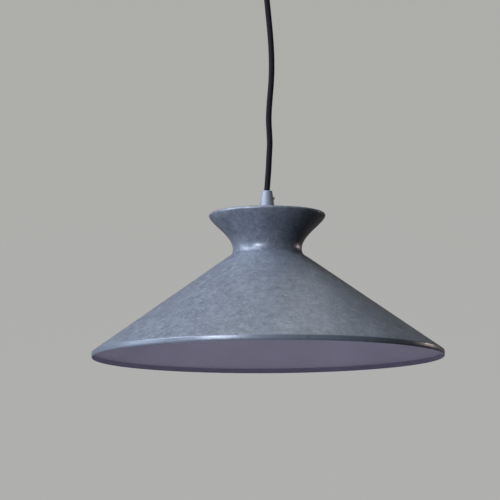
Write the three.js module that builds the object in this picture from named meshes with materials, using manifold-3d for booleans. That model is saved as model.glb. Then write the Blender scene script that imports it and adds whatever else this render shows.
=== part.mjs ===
// Pendant ceiling light: a spun hourglass shade on a fabric-covered cord, under a ceiling cup.
// Millimetres, +Z up. The origin is on the ceiling, at the centre of the bracket's top face.
import * as THREE from "three";
import Module from "manifold-3d";

const { Manifold, Mesh: SolidMesh } = await Module().then((wasm) => {
  wasm.setup();
  return wasm;
});

// ---------- driving dimensions ----------
const GAP = 0.3; // clearance left between pieces that touch
const RIM_Z = -515; // the shade's rim plane

// shade
const RIM_R = 200;
const LIP_H = 5.2; // height of the upright lip, to the start of its rounded shoulder
const CONE_START = { r: 199.4, z: 6.3 }; // the shoulder meets the cone here
const CONE_END = { r: 47.8, z: 113.2 }; // the cone starts to curve into the neck here
const CONE_CURVE = { r: 43.4, z: 116.3 }; // this curve's first handle, in line with the cone
const SHEET = 1.0;
const NECK = { r: 39.4, z: 124.5 }; // narrowest place, where the two spinnings meet
const NECK_BELOW = 7.6; // length of the upright handle of the curve that comes up to the neck
const NECK_ABOVE = 15.3; // and of the one that leaves it
const FLARE_CURVE = { r: 62.9, z: 152.8 };
const FLARE_END = { r: 66.4, z: 161.8 };
const TOP_Z = 165; // top face of the shade
const EDGE_R = 2.35; // rolled edge round the top
const EDGE_CENTRE_R = 64.3;
const HUB_HOLE_R = 5.3;

// threaded tubes and nuts, M10 x 1
const TUBE_R = 4.95;
const TUBE_BORE_R = 3.95;
const NUT_FLATS = 14;
const NUT_H = 3;
const NUT_HOLE_R = 5.25;

// cord grips
const GRIP_H = 26.4;
const GRIP_BASE_R = 9.4;
const GRIP_TIP_R = 6.0;
const GRIP_BORE_R = 3.75;
const GRIP_SOCKET_DEPTH = 13;
const GRIP_SCREW_UP = 17.8; // height of the clamp screw above the grip's base
const GRIP_SCREW_R = 1.7;
const GRIP_SCREW_OUT = 8.8; // the screw's outer face, from the axis

// cord
const CORD_R = 3.4;
const CORE_R = 1.1;

// ceiling cup and bracket
const CUP_R = 50;
const CUP_FLOOR_Z = -46;
const CUP_CORNER_R = 5;
const CUP_SHEET = 1.0;
const CUP_RIM_Z = -0.4;
const BAR_HALF_X = 47;
const BAR_HALF_Y = 11;
const BAR_T = 2;
const EAR_DROP = 15;
const EAR_HALF_Y = 8;
const CUP_SCREW_Z = -8;
const CUP_SCREW_R = 1.85;
const CUP_SLOT_R = 2.3;
const FIXING_SLOT_X = 27; // centre of each ceiling screw's slot
const FIXING_SLOT_R = 2.6;
const FIXING_SLOT_HALF = 5;

// terminal block
const BLOCK = { x: 15.5, y: 8, top: -2.3, bottom: -16 };
const WAY_PITCH = 9.5;
const WAY_Z = -8;

// lampholder, heights above the rim plane
const HOLDER_TOP = 158.2;
const HOLDER_SPLIT = 131;
const HOLDER_MOUTH = 105;
const INSERT_TOP = 141;
const INSERT_BOTTOM = 133;
const SHELL_R = 14.6;
const SHELL_BORE_R = 14.0;

// bulb, heights above the rim plane
const BULB_R = 30;
const BULB_CENTRE_Z = 57.5;
const BULB_CAP_R = 13.1;

// ---------- materials ----------
function finish(color, roughness, metalness) {
  return new THREE.MeshStandardMaterial({ color, roughness, metalness });
}

const LOOK = {
  paint: finish(0x7f8590, 0.45, 0.35),
  grip: finish(0x9aa1ad, 0.4, 0.8),
  steel: finish(0xa8aaad, 0.35, 1.0),
  brass: finish(0xb8954a, 0.35, 1.0),
  cloth: finish(0x111214, 0.95, 0.0),
  holder: finish(0x1a1a1c, 0.35, 0.0),
  ceramic: finish(0xe8e4da, 0.3, 0.0),
  block: finish(0xe6e6e2, 0.5, 0.0),
  brown: finish(0x6a3d22, 0.5, 0.0),
  blue: finish(0x2a5fb0, 0.5, 0.0),
  green: finish(0x6f9b2f, 0.5, 0.0),
  opal: finish(0xf1efe9, 0.35, 0.0),
  nickel: finish(0xc2c3c0, 0.3, 1.0),
  black: finish(0x101010, 0.2, 0.0),
};

// ---------- geometry helpers ----------
// Revolves a closed [r, z] outline, or one that starts and ends on the axis, about Z.
function turned(outline, segments) {
  const points = outline.map(([r, z]) => new THREE.Vector2(r, z));
  const onAxis = outline[0][0] === 0 && outline[outline.length - 1][0] === 0;
  if (!onAxis) points.push(points[0].clone());
  return new THREE.LatheGeometry(points, segments).rotateX(Math.PI / 2);
}

// Moves an open [r, z] line sideways by the sheet's thickness, to its left.
function offsetLine(line, thickness) {
  return line.map(([r, z], i) => {
    const [r0, z0] = line[Math.max(i - 1, 0)];
    const [r1, z1] = line[Math.min(i + 1, line.length - 1)];
    const length = Math.hypot(r1 - r0, z1 - z0);
    return [r - (thickness * (z1 - z0)) / length, z + (thickness * (r1 - r0)) / length];
  });
}

function below(point, distance) {
  return { r: point.r, z: point.z - distance };
}

// Points along the cubic curve that four corners set, without its first point.
function curve(corners, steps) {
  const [a, b, c, d] = corners.map(({ r, z }) => new THREE.Vector2(r, z));
  const points = new THREE.CubicBezierCurve(a, b, c, d).getPoints(steps);
  return points.slice(1).map(({ x, y }) => [x, y]);
}

// A sheet-metal wall: the line, and the same line moved sideways, joined at both ends.
function wall(line, thickness) {
  return [...line, ...offsetLine(line, thickness).reverse()];
}

function ring(inner, outer, low, high, segments = 40) {
  return turned(
    [
      [inner, low],
      [outer, low],
      [outer, high],
      [inner, high],
    ],
    segments,
  );
}

function rod(radius, low, high, segments = 24) {
  return turned(
    [
      [0, low],
      [radius, low],
      [radius, high],
      [0, high],
    ],
    segments,
  );
}

// Lays a solid of revolution along X, its low end at x = from.
function alongX(geometry, from, z) {
  return geometry.rotateY(Math.PI / 2).translate(from, 0, z);
}

function box(x0, x1, y0, y1, z0, z1) {
  return new THREE.BoxGeometry(x1 - x0, y1 - y0, z1 - z0).translate(
    (x0 + x1) / 2,
    (y0 + y1) / 2,
    (z0 + z1) / 2,
  );
}

function tube(points, radius, steps, sides) {
  const path = new THREE.CatmullRomCurve3(
    points.map((p) => new THREE.Vector3(...p)),
    false,
    "centripetal",
  );
  const section = new THREE.Shape();
  for (let i = 0; i < sides; i += 1) {
    const a = (2 * Math.PI * i) / sides;
    const x = radius * Math.cos(a);
    const y = radius * Math.sin(a);
    if (i === 0) section.moveTo(x, y);
    else section.lineTo(x, y);
  }
  section.closePath();
  return new THREE.ExtrudeGeometry(section, { steps, extrudePath: path });
}

function hexNut(low) {
  const shape = new THREE.Shape();
  for (let i = 0; i < 6; i += 1) {
    const a = (Math.PI / 3) * i;
    const r = NUT_FLATS / Math.sqrt(3);
    if (i === 0) shape.moveTo(r, 0);
    else shape.lineTo(r * Math.cos(a), r * Math.sin(a));
  }
  shape.closePath();
  const hole = new THREE.Path();
  hole.absarc(0, 0, NUT_HOLE_R, 0, 2 * Math.PI, true);
  shape.holes.push(hole);
  const options = { depth: NUT_H, bevelEnabled: false, curveSegments: 12 };
  return new THREE.ExtrudeGeometry(shape, options).translate(0, 0, low);
}

// ---------- booleans ----------
function toSolid(geometry) {
  const position = geometry.getAttribute("position");
  const index = geometry.index;
  const count = index ? index.count : position.count;
  const seen = new Map();
  const vertices = [];
  const corners = [];
  for (let i = 0; i < count; i += 1) {
    const v = index ? index.getX(i) : i;
    const p = [position.getX(v), position.getY(v), position.getZ(v)];
    const key = p.map((c) => Math.round(c * 1e4)).join(",");
    if (!seen.has(key)) {
      seen.set(key, vertices.length / 3);
      vertices.push(...p);
    }
    corners.push(seen.get(key));
  }
  const triangles = [];
  for (let i = 0; i < corners.length; i += 3) {
    const [a, b, c] = corners.slice(i, i + 3);
    if (a !== b && b !== c && c !== a) triangles.push(a, b, c);
  }
  return new Manifold(
    new SolidMesh({
      numProp: 3,
      vertProperties: new Float32Array(vertices),
      triVerts: new Uint32Array(triangles),
    }),
  );
}

function fromSolid(solid) {
  const mesh = solid.getMesh();
  const geometry = new THREE.BufferGeometry();
  const positions = new THREE.BufferAttribute(new Float32Array(mesh.vertProperties), 3);
  geometry.setAttribute("position", positions);
  geometry.setIndex(new THREE.BufferAttribute(new Uint32Array(mesh.triVerts), 1));
  geometry.computeVertexNormals();
  return geometry;
}

function cut(base, tools) {
  return fromSolid(tools.reduce((solid, tool) => solid.subtract(toSolid(tool)), toSolid(base)));
}

function join(pieces) {
  return fromSolid(pieces.map(toSolid).reduce((all, piece) => all.add(piece)));
}

// ---------- scene graph ----------
function place(parent, name, geometry, material) {
  const mesh = new THREE.Mesh(geometry, material);
  mesh.name = name;
  parent.add(mesh);
  return mesh;
}

// A tapered cord grip standing on z = 0, with a socket for the threaded tube below.
function gripGeometry() {
  const body = turned(
    [
      [NUT_HOLE_R, 0],
      [GRIP_BASE_R, 0],
      [GRIP_BASE_R - 0.1, 2.2],
      [GRIP_TIP_R + 0.1, GRIP_H - 1],
      [GRIP_TIP_R - 0.7, GRIP_H],
      [GRIP_BORE_R, GRIP_H],
      [GRIP_BORE_R, GRIP_SOCKET_DEPTH],
      [NUT_HOLE_R, GRIP_SOCKET_DEPTH],
    ],
    32,
  );
  const hole = rod(GRIP_SCREW_R + GAP, 0, 14, 12);
  return cut(body, [alongX(hole, 0, GRIP_SCREW_UP)]);
}

// The grip's clamp screw, lying along X, with a driver slot in its outer face.
function gripScrewGeometry() {
  const start = GRIP_BORE_R + 0.1;
  const screw = rod(GRIP_SCREW_R, 0, GRIP_SCREW_OUT - start, 12);
  const slot = box(GRIP_SCREW_OUT - 0.7, GRIP_SCREW_OUT + 1, -0.3, 0.3, -4, 4);
  slot.translate(0, 0, GRIP_SCREW_UP);
  return cut(alongX(screw, start, GRIP_SCREW_UP), [slot]);
}

function slottedHead(radius, height, slotWidth, segments) {
  const head = rod(radius, 0, height, segments);
  const slot = box(-radius - 1, radius + 1, -slotWidth / 2, slotWidth / 2, height * 0.5, height + 1);
  return cut(head, [slot]);
}

// ---------- ceiling bracket and wiring ----------
function buildCeiling() {
  const group = new THREE.Group();
  group.name = "ceiling";

  const bar = box(-BAR_HALF_X, BAR_HALF_X, -BAR_HALF_Y, BAR_HALF_Y, -BAR_T, 0);
  const ears = [-1, 1].map((side) => {
    const inner = side * (BAR_HALF_X - BAR_T);
    const outer = side * BAR_HALF_X;
    const [x0, x1] = [Math.min(inner, outer), Math.max(inner, outer)];
    return box(x0, x1, -EAR_HALF_Y, EAR_HALF_Y, -EAR_DROP, -BAR_T / 2);
  });
  const screwHole = alongX(rod(CUP_SCREW_R + GAP, 0, 120, 12), -60, CUP_SCREW_Z);
  const slots = [-1, 1].flatMap((side) => {
    const x = side * FIXING_SLOT_X;
    const ends = [-1, 1].map((end) =>
      rod(FIXING_SLOT_R, -5, 2, 12).translate(x + end * FIXING_SLOT_HALF, 0, 0),
    );
    const middle = box(
      x - FIXING_SLOT_HALF,
      x + FIXING_SLOT_HALF,
      -FIXING_SLOT_R,
      FIXING_SLOT_R,
      -5,
      2,
    );
    return [...ends, middle];
  });
  place(group, "ceiling_bracket", cut(join([bar, ...ears]), [screwHole, ...slots]), LOOK.steel);

  const shank = rod(CUP_SCREW_R, 0, CUP_R + GAP + 0.2 - 43.5, 12);
  const head = slottedHead(4, 2.3, 0.9, 18).translate(0, 0, CUP_R + GAP - 43.5);
  const cupScrew = join([shank, head]);
  place(group, "cup_screw_right", alongX(cupScrew.clone(), 43.5, CUP_SCREW_Z), LOOK.nickel);
  const mirrored = alongX(cupScrew.clone(), 43.5, CUP_SCREW_Z).rotateZ(Math.PI);
  place(group, "cup_screw_left", mirrored, LOOK.nickel);

  const ways = [
    ["live", -1, LOOK.brown],
    ["earth", 0, LOOK.green],
    ["neutral", 1, LOOK.blue],
  ];
  const bores = ways.flatMap(([, k]) => {
    const x = k * WAY_PITCH;
    const wireHole = rod(CORE_R + 0.6, -12, 12, 10).rotateX(Math.PI / 2).translate(x, 0, WAY_Z);
    const screwWell = rod(2.4, BLOCK.bottom - 1, WAY_Z, 12).translate(x, 0, 0);
    return [wireHole, screwWell];
  });
  const waists = [-0.5, 0.5].flatMap((k) =>
    [-1, 1].map((side) =>
      rod(1.6, BLOCK.bottom - 1, BLOCK.top + 1, 12).translate(k * WAY_PITCH, side * BLOCK.y, 0),
    ),
  );
  const block = box(-BLOCK.x, BLOCK.x, -BLOCK.y, BLOCK.y, BLOCK.bottom, BLOCK.top);
  place(group, "terminal_block", cut(block, [...bores, ...waists]), LOOK.block);

  for (const [name, k, insulation] of ways) {
    const x = k * WAY_PITCH;
    const screw = slottedHead(2.0, 4.2, 0.6, 12).rotateX(Math.PI).translate(x, 0, WAY_Z - 2);
    place(group, `terminal_screw_${name}`, screw, LOOK.brass);
    const bundle = k === 0 ? [[0, 1.4, -33.6], [0, 0.2, -30]] : [[k * 1.3, -0.8, -33.6], [k * 3.4, -5, -32]];
    const path = [
      ...bundle,
      [k * 7, -15, k === 0 ? -26.5 : -29],
      [x, -23, -21],
      [x, -19.5, -11],
      [x, -13, WAY_Z],
      [x, -5, WAY_Z],
    ];
    place(group, `rose_wire_${name}`, tube(path, CORE_R, 18, 6), insulation);
  }
  return group;
}

// ---------- ceiling cup ----------
function buildCup() {
  const group = new THREE.Group();
  group.name = "cup";

  const side = [[HUB_HOLE_R, CUP_FLOOR_Z]];
  const steps = 3;
  for (let i = 0; i <= steps; i += 1) {
    const a = (Math.PI / 2) * (i / steps);
    const r = CUP_R - CUP_CORNER_R + CUP_CORNER_R * Math.sin(a);
    const z = CUP_FLOOR_Z + CUP_CORNER_R - CUP_CORNER_R * Math.cos(a);
    side.push([r, z]);
  }
  side.push([CUP_R, CUP_RIM_Z]);
  const slotRound = rod(CUP_SLOT_R, 0, 140, 12);
  const slotOpen = box(-70, 70, -CUP_SLOT_R, CUP_SLOT_R, CUP_SCREW_Z, 1);
  const cup = cut(turned(wall(side, CUP_SHEET), 48), [
    alongX(slotRound, -70, CUP_SCREW_Z),
    slotOpen,
  ]);
  place(group, "rose_cup", cup, LOOK.paint);

  const floor = CUP_FLOOR_Z + CUP_SHEET;
  place(group, "rose_nipple", ring(TUBE_BORE_R, TUBE_R, -58, -37, 24), LOOK.steel);
  place(group, "rose_nut", hexNut(floor + GAP), LOOK.steel);

  const grip = gripGeometry().rotateX(Math.PI).translate(0, 0, CUP_FLOOR_Z - GAP);
  place(group, "rose_grip", grip, LOOK.grip);
  const screw = gripScrewGeometry().rotateX(Math.PI).translate(0, 0, CUP_FLOOR_Z - GAP);
  place(group, "rose_grip_screw", screw, LOOK.nickel);

  const exit = CUP_FLOOR_Z - GAP - GRIP_H;
  place(group, "cord_upper_end", rod(CORD_R, exit + 0.2, -35.2, 16), LOOK.cloth);
  return group;
}

// ---------- cord ----------
function buildCord() {
  const low = RIM_Z + TOP_Z + GAP + GRIP_H + GAP;
  const high = CUP_FLOOR_Z - GAP - GRIP_H - GAP;
  // sideways drift of the hanging cord, [share of its length from the bottom, x, y]
  const drift = [
    [0, 0, 0],
    [0.04, 0.8, 0],
    [0.1, 2.0, 0.2],
    [0.16, 2.8, 0.4],
    [0.22, 3.6, 0.5],
    [0.27, 3.2, 0.3],
    [0.33, 2.6, 0],
    [0.38, 3.1, -0.2],
    [0.44, 4.3, 0],
    [0.5, 5.6, 0.3],
    [0.56, 6.3, 0.4],
    [0.63, 6.3, 0.3],
    [0.72, 5.2, 0],
    [0.83, 2.9, 0],
    [0.93, 0.8, 0],
    [1, 0, 0],
  ];
  const points = drift.map(([share, x, y]) => [x, y, low + share * (high - low)]);
  const group = new THREE.Group();
  group.name = "cord_run";
  place(group, "cord", tube(points, CORD_R, 28, 8), LOOK.cloth);
  return group;
}

// ---------- shade, heights above the rim plane ----------
function shadeMetal(group) {
  const cone = [
    [RIM_R, 0],
    [RIM_R, LIP_H],
    [CONE_START.r, CONE_START.z],
    [CONE_END.r, CONE_END.z],
    ...curve([CONE_END, CONE_CURVE, below(NECK, NECK_BELOW), below(NECK, GAP / 2)], 4),
  ];
  place(group, "shade_cone", turned(wall(cone, SHEET), 64), LOOK.paint);

  const neckTop = below(NECK, -GAP / 2);
  const crown = [
    [neckTop.r, neckTop.z],
    ...curve([neckTop, below(NECK, -NECK_ABOVE), FLARE_CURVE, FLARE_END], 7),
  ];
  for (const degrees of [15, 50, 90]) {
    const a = THREE.MathUtils.degToRad(degrees);
    crown.push([EDGE_CENTRE_R + EDGE_R * Math.cos(a), TOP_Z - EDGE_R + EDGE_R * Math.sin(a)]);
  }
  crown.push([HUB_HOLE_R, TOP_Z]);
  place(group, "shade_crown", turned(wall(crown, SHEET), 48), LOOK.paint);
}

function shadeFixings(group) {
  const grip = gripGeometry().translate(0, 0, TOP_Z + GAP);
  place(group, "shade_grip", grip, LOOK.grip);
  const screw = gripScrewGeometry().translate(0, 0, TOP_Z + GAP);
  place(group, "shade_grip_screw", screw, LOOK.nickel);

  place(group, "nipple", ring(TUBE_BORE_R, TUBE_R, 152, TOP_Z + 12.5, 24), LOOK.steel);
  const under = TOP_Z - SHEET - GAP;
  place(group, "lock_washer", ring(NUT_HOLE_R, 9.6, under - 0.9, under, 24), LOOK.steel);
  place(group, "lock_nut", hexNut(under - 0.9 - GAP - NUT_H), LOOK.steel);
  const exit = TOP_Z + GAP + GRIP_H;
  place(group, "cord_lower_end", rod(CORD_R, 150, exit - 0.2, 16), LOOK.cloth);
}

function lampholder(group) {
  const capLine = [
    [19.4, HOLDER_SPLIT],
    [19.4, 141.5],
    [17.4, 146],
    [11.6, 149.8],
    [8.4, 153],
    [8.4, HOLDER_TOP],
  ];
  const cap = [...capLine, [NUT_HOLE_R, HOLDER_TOP], [NUT_HOLE_R, 151.6], [9.2, 149.2]];
  cap.push([15.4, 145], [17.6, 141], [17.6, HOLDER_SPLIT]);
  place(group, "holder_cap", turned(cap, 36), LOOK.holder);

  const skirt = [
    [17.6, HOLDER_SPLIT - GAP],
    [17.2, HOLDER_MOUTH + 1],
    [17.6, HOLDER_MOUTH],
    [19.6, HOLDER_MOUTH],
    [20.2, HOLDER_MOUTH + 1],
    [20.2, HOLDER_MOUTH + 4],
    [19.4, HOLDER_MOUTH + 5],
    [19.4, HOLDER_SPLIT - GAP],
  ];
  place(group, "holder_skirt", turned(skirt, 36), LOOK.holder);

  const core = rod(16.4, INSERT_BOTTOM, INSERT_TOP, 30);
  const notches = [60, 180, 300].map((degrees) => {
    const a = THREE.MathUtils.degToRad(degrees);
    const notch = rod(2.2, INSERT_BOTTOM - 1, INSERT_TOP + 1, 10);
    return notch.translate(16.4 * Math.cos(a), 16.4 * Math.sin(a), 0);
  });
  place(group, "holder_insert", cut(core, notches), LOOK.ceramic);

  const shell = [
    [SHELL_BORE_R, 107.2],
    [SHELL_R, 107.2],
    [SHELL_R, INSERT_BOTTOM - GAP],
    [6.2, INSERT_BOTTOM - GAP],
    [6.2, INSERT_BOTTOM - GAP - 0.6],
    [SHELL_BORE_R, INSERT_BOTTOM - GAP - 0.6],
  ];
  place(group, "screw_shell", turned(shell, 36), LOOK.brass);

  const tongue = new THREE.Shape();
  tongue.moveTo(-4.6, 0);
  tongue.lineTo(-1.8, 0);
  tongue.lineTo(0.6, -1.6);
  tongue.lineTo(4.4, -1.2);
  tongue.lineTo(4.4, -1.6);
  tongue.lineTo(0.5, -2.1);
  tongue.lineTo(-2.0, -0.5);
  tongue.lineTo(-4.6, -0.5);
  tongue.closePath();
  const strip = new THREE.ExtrudeGeometry(tongue, { depth: 4.4, bevelEnabled: false });
  strip.rotateX(Math.PI / 2).translate(0, 2.2, INSERT_BOTTOM - GAP);
  place(group, "centre_contact", strip, LOOK.brass);

  const terminals = [
    ["live", 180, LOOK.brown],
    ["neutral", 0, LOOK.blue],
    ["earth", 90, LOOK.green],
  ];
  for (const [name, degrees, insulation] of terminals) {
    const a = THREE.MathUtils.degToRad(degrees);
    const [x, y] = [Math.cos(a), Math.sin(a)];
    const screw = slottedHead(2.6, 1.8, 0.7, 14);
    screw.translate(10.5 * x, 10.5 * y, INSERT_TOP + GAP);
    place(group, `holder_screw_${name}`, screw, LOOK.brass);
    const path = [
      [1.6 * x, 1.6 * y, 149.6],
      [2.4 * x, 2.4 * y, 147.6],
      [6 * x, 6 * y, 145.6],
      [10.5 * x, 10.5 * y, INSERT_TOP + 3.4],
    ];
    place(group, `holder_wire_${name}`, tube(path, CORE_R * 0.85, 7, 6), insulation);
  }
}

// ---------- bulb, heights above the rim plane ----------
function buildBulb() {
  const group = new THREE.Group();
  group.name = "bulb";

  const glass = [
    [12.1, 110],
    [12.1, 103.6],
    [18.6, 91],
    [23.4, 80],
    [27.4, 70.2],
  ];
  const steps = 6;
  for (let i = 0; i <= steps; i += 1) {
    const a = (Math.PI / 2) * (1.14 - (1.14 * i) / steps);
    const r = BULB_R * Math.sin(a);
    const z = BULB_CENTRE_Z - BULB_R * Math.cos(a);
    if (i > 0) glass.push([i === steps ? 0 : r, z]);
  }
  const inner = [
    [0, BULB_CENTRE_Z - BULB_R + 0.9],
    [13, BULB_CENTRE_Z - 26.1],
    [24, BULB_CENTRE_Z - 15],
    [28.2, BULB_CENTRE_Z],
    [26.2, 70.2],
    [17.5, 91],
    [11.2, 103.6],
    [11.2, 110],
  ];
  place(group, "bulb_glass", turned([...glass, ...inner].reverse(), 36), LOOK.opal);

  const cap = [
    [12.6, 104.6],
    [BULB_CAP_R, 104.6],
    [BULB_CAP_R, 124.6],
    [9.8, 127.2],
    [9.4, 126.8],
    [12.6, 124.2],
  ];
  place(group, "bulb_cap", turned(cap, 36), LOOK.nickel);
  const bead = [
    [0, 126],
    [8.8, 126.2],
    [8.9, 127.4],
    [5.2, 129],
    [0, 129],
  ];
  place(group, "bulb_insulator", turned(bead, 24), LOOK.black);
  place(group, "bulb_tip", rod(4.4, 129 + GAP, 130.2, 24), LOOK.nickel);
  return group;
}

// ---------- assembly ----------
const light = new THREE.Group();
light.name = "pendant_light";
light.add(buildCeiling());
light.add(buildCup());
light.add(buildCord());

const shade = new THREE.Group();
shade.name = "shade";
shade.position.z = RIM_Z;
shadeMetal(shade);
shadeFixings(shade);
lampholder(shade);
shade.add(buildBulb());
light.add(shade);

export default light;
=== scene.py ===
"""Pendant ceiling light: the visual model, its materials, the light and the camera.
Metres, +Z up. The origin is on the ceiling and the shade's rim plane is at RIM_Z."""

import math

import bmesh
import bpy
import numpy as np
from mathutils import Matrix, Vector


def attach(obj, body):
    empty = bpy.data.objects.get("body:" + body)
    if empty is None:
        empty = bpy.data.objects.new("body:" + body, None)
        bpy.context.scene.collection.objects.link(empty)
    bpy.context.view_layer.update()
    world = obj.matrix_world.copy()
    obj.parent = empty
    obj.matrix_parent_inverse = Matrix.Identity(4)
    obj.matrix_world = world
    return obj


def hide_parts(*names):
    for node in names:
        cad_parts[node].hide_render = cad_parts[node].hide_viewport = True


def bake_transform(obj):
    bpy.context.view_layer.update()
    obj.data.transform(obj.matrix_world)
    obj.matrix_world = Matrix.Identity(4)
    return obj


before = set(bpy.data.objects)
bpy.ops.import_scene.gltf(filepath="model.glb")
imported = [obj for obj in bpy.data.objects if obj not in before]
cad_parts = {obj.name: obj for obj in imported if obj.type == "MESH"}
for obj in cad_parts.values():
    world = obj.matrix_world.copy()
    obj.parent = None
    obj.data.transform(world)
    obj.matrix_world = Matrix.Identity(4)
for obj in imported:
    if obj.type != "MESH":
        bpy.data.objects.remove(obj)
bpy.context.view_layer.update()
scene = bpy.context.scene

# ---------- sizes and places, in metres ----------
MM = 0.001
GAP = 0.3 * MM  # clearance between pieces that touch
SHEET = 1 * MM
ON_AXIS = 1e-9  # a smaller radius counts as none
SLIVER = 0.002 * MM  # edges shorter than this are taken out after a cut

# shade
RIM_Z = -515 * MM
TOP_H = 165  # the flat top over the rim plane, in millimetres
TOP_Z = RIM_Z + TOP_H * MM
LIP_COAT_FADE = (RIM_Z + 5.4 * MM, RIM_Z + 7 * MM)  # the lip's plainer coat ends between these

# ceiling cup
CUP_R = 50 * MM
CUP_FLOOR_Z = -46 * MM
CUP_CORNER_R = 5 * MM
CUP_RIM_Z = -0.4 * MM
CUP_RING_Z = -20 * MM  # a ring of points below the slots, so that cutting them leaves the rest
CUP_SLOT_R = 2.3 * MM
CUP_SCREW_Z = -8 * MM

# threaded tubes, nuts and washer, M10 x 1
TUBE_R = 4.95 * MM
TUBE_BORE_R = 3.95 * MM
TUBE_PITCH = 1 * MM
TUBE_THREAD = 0.5 * MM
HUB_TUBE_ENDS = (RIM_Z + 152 * MM, TOP_Z + 12.5 * MM)
CUP_TUBE_ENDS = (-58 * MM, -37 * MM)
NUT_HOLE_R = 5.25 * MM
NUT_H = 3 * MM
NUT_FLATS = 14 * MM
NUT_LAND_R = 6.6 * MM  # a ring on each face, which the hexagon pulls in a little
NUT_CHAMFER = 0.8 * MM
WASHER_T = 0.9 * MM
WASHER_RING_R = 7.6 * MM
WASHER_R = 9.6 * MM
WASHER_TOOTH = 1.1 * MM
WASHER_TEETH = 14
WASHER_Z = TOP_Z - SHEET - GAP - WASHER_T

# cord grips
GRIP_H = 26.4 * MM
GRIP_SCREW_UP = 17.8 * MM  # height of the clamp screw above the grip's base
SHADE_GRIP_Z = TOP_Z + GAP
ROSE_GRIP_Z = CUP_FLOOR_Z - GAP

# cord and cores
CORD_R = 3.4 * MM
CORD_SIDES = 64
YARNS = 16
YARN_H = 0.26 * MM  # height of the braid over the cord's core
YARN_LAY = 2.6 * MM
CORE_R = 1.1 * MM
CORD_STOP = 0.2 * MM  # a short cord end stops this far inside its grip's mouth
LOW_CORD_END = (RIM_Z + 150 * MM, SHADE_GRIP_Z + GRIP_H - CORD_STOP)
HIGH_CORD_END = (ROSE_GRIP_Z - GRIP_H + CORD_STOP, -35.2 * MM)

# terminal block and lampholder
WAYS = (("live", -1), ("earth", 0), ("neutral", 1))  # with places along the block
HOLDER_WAYS = (("live", 180), ("neutral", 0), ("earth", 90))  # with degrees round the axis
HOLDER_WAY_R = 10.5 * MM
HOLDER_SCREW_Z = RIM_Z + 141.3 * MM
RIB_FADE = 1.5 * MM  # the grip ribs run out over this height
THREAD_PITCH = 3.63 * MM  # E27

# ---------- outline dimensions, in millimetres ----------
# heights in the shade, the lampholder and the bulb count up from the rim plane
RIM_R = 200
LIP_H = 5.2
LIP_SHOULDER_R = 1.4
CONE_END = (47.8, 113.2)
CONE_CURVE = (43.4, 116.3)
NECK_R = 39.4
NECK_Z = 124.5
NECK_BELOW = 7.6  # length of the upright handle of the curve that comes up to the neck
NECK_ABOVE = 15.3  # and of the one that leaves it
FLARE_CURVE = (62.9, 152.8)
FLARE_END = (66.4, 161.8)
EDGE_R = 2.35
EDGE_CENTRE = (64.3, TOP_H - EDGE_R)
HUB_HOLE_R = 5.3

WAY_PITCH = 9.5  # between the terminal block's ways
WAY_Z = -8

GRIP_BASE_R = 9.4
GRIP_BORE_R = 3.75
GRIP_SOCKET_R = 5.25
GRIP_SOCKET = 13  # its depth
GRIP_SCREW_R = 1.7
GRIP_SCREW_IN = 3.85  # the clamp screw's inner face, from the axis
GRIP_SCREW_OUT = 8.8  # and its outer face

CUP_SCREW_R = 1.85
CUP_SCREW_IN = 43.5  # the side screw's inner end, from the axis
CUP_SCREW_HEAD = 50.5  # where its head starts
CUP_SCREW_OUT = 52.6
CUP_SCREW_HEAD_R = 4
CUP_SCREW_PITCH = 0.7
CUP_SCREW_THREAD = 0.3

# wiring screws: radius, height and the slot's width
TERMINAL_SCREW = (2.0, 4.2, 0.6)
HOLDER_SCREW = (2.6, 1.8, 0.7)

HOLDER_R = 19.4
HOLDER_BORE_R = 17.6
HOLDER_TOP = 158.2
HOLDER_SPLIT = 131
HOLDER_MOUTH = 105
HOLDER_NECK_R = 8.4
HOLDER_HOLE_R = 5.25  # for the threaded tube
RIBS = 36
RIB_DEPTH = 0.5
RIB_LOW = 133
RIB_HIGH = 141.2
INSERT_R = 16.4
INSERT_BOTTOM = 133
INSERT_TOP = 141
SHELL_R = 14.6
SHELL_BORE_R = 14.0
SHELL_HOLE_R = 6.2
SHELL_T = 0.6
SHELL_THREAD = 0.45
SHELL_LOW = 107.2
SHELL_HIGH = 132.7

BULB_R = 30
BULB_CENTRE = (0, 57.5)
BULB_WALL = 0.9
BULB_CAP_R = 13.1
BULB_CAP_WALL = 0.5
BULB_THREAD = 0.85
BULB_CAP_LOW = 104.6
BULB_CAP_HIGH = 124.6

# ---------- camera ----------
CAMERA_PLACE = (0, -2.8, RIM_Z - 0.2654)
CAMERA_YAW = math.radians(-0.405)
CAMERA_PITCH = math.radians(7.908)
CAMERA_ROLL = math.radians(0.33)
CAMERA_LENS = 178.3  # millimetres, as is the sensor's width
CAMERA_SENSOR = 36


def make_camera():
    """A long lens a little below the rim, looking slightly up, on the -Y side."""
    ahead = Vector((math.sin(CAMERA_YAW), math.cos(CAMERA_YAW), 0))
    right = Vector((math.cos(CAMERA_YAW), -math.sin(CAMERA_YAW), 0))
    up = Vector((0, 0, 1))
    forward = ahead * math.cos(CAMERA_PITCH) + up * math.sin(CAMERA_PITCH)
    above = up * math.cos(CAMERA_PITCH) - ahead * math.sin(CAMERA_PITCH)
    x_axis = right * math.cos(CAMERA_ROLL) - above * math.sin(CAMERA_ROLL)
    y_axis = right * math.sin(CAMERA_ROLL) + above * math.cos(CAMERA_ROLL)
    data = bpy.data.cameras.new("camera")
    data.sensor_width = CAMERA_SENSOR
    data.lens = CAMERA_LENS
    camera = bpy.data.objects.new("camera", data)
    scene.collection.objects.link(camera)
    axes = Matrix((x_axis, y_axis, -forward)).transposed().to_4x4()
    camera.matrix_world = Matrix.Translation(CAMERA_PLACE) @ axes
    scene.camera = camera


make_camera()


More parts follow.
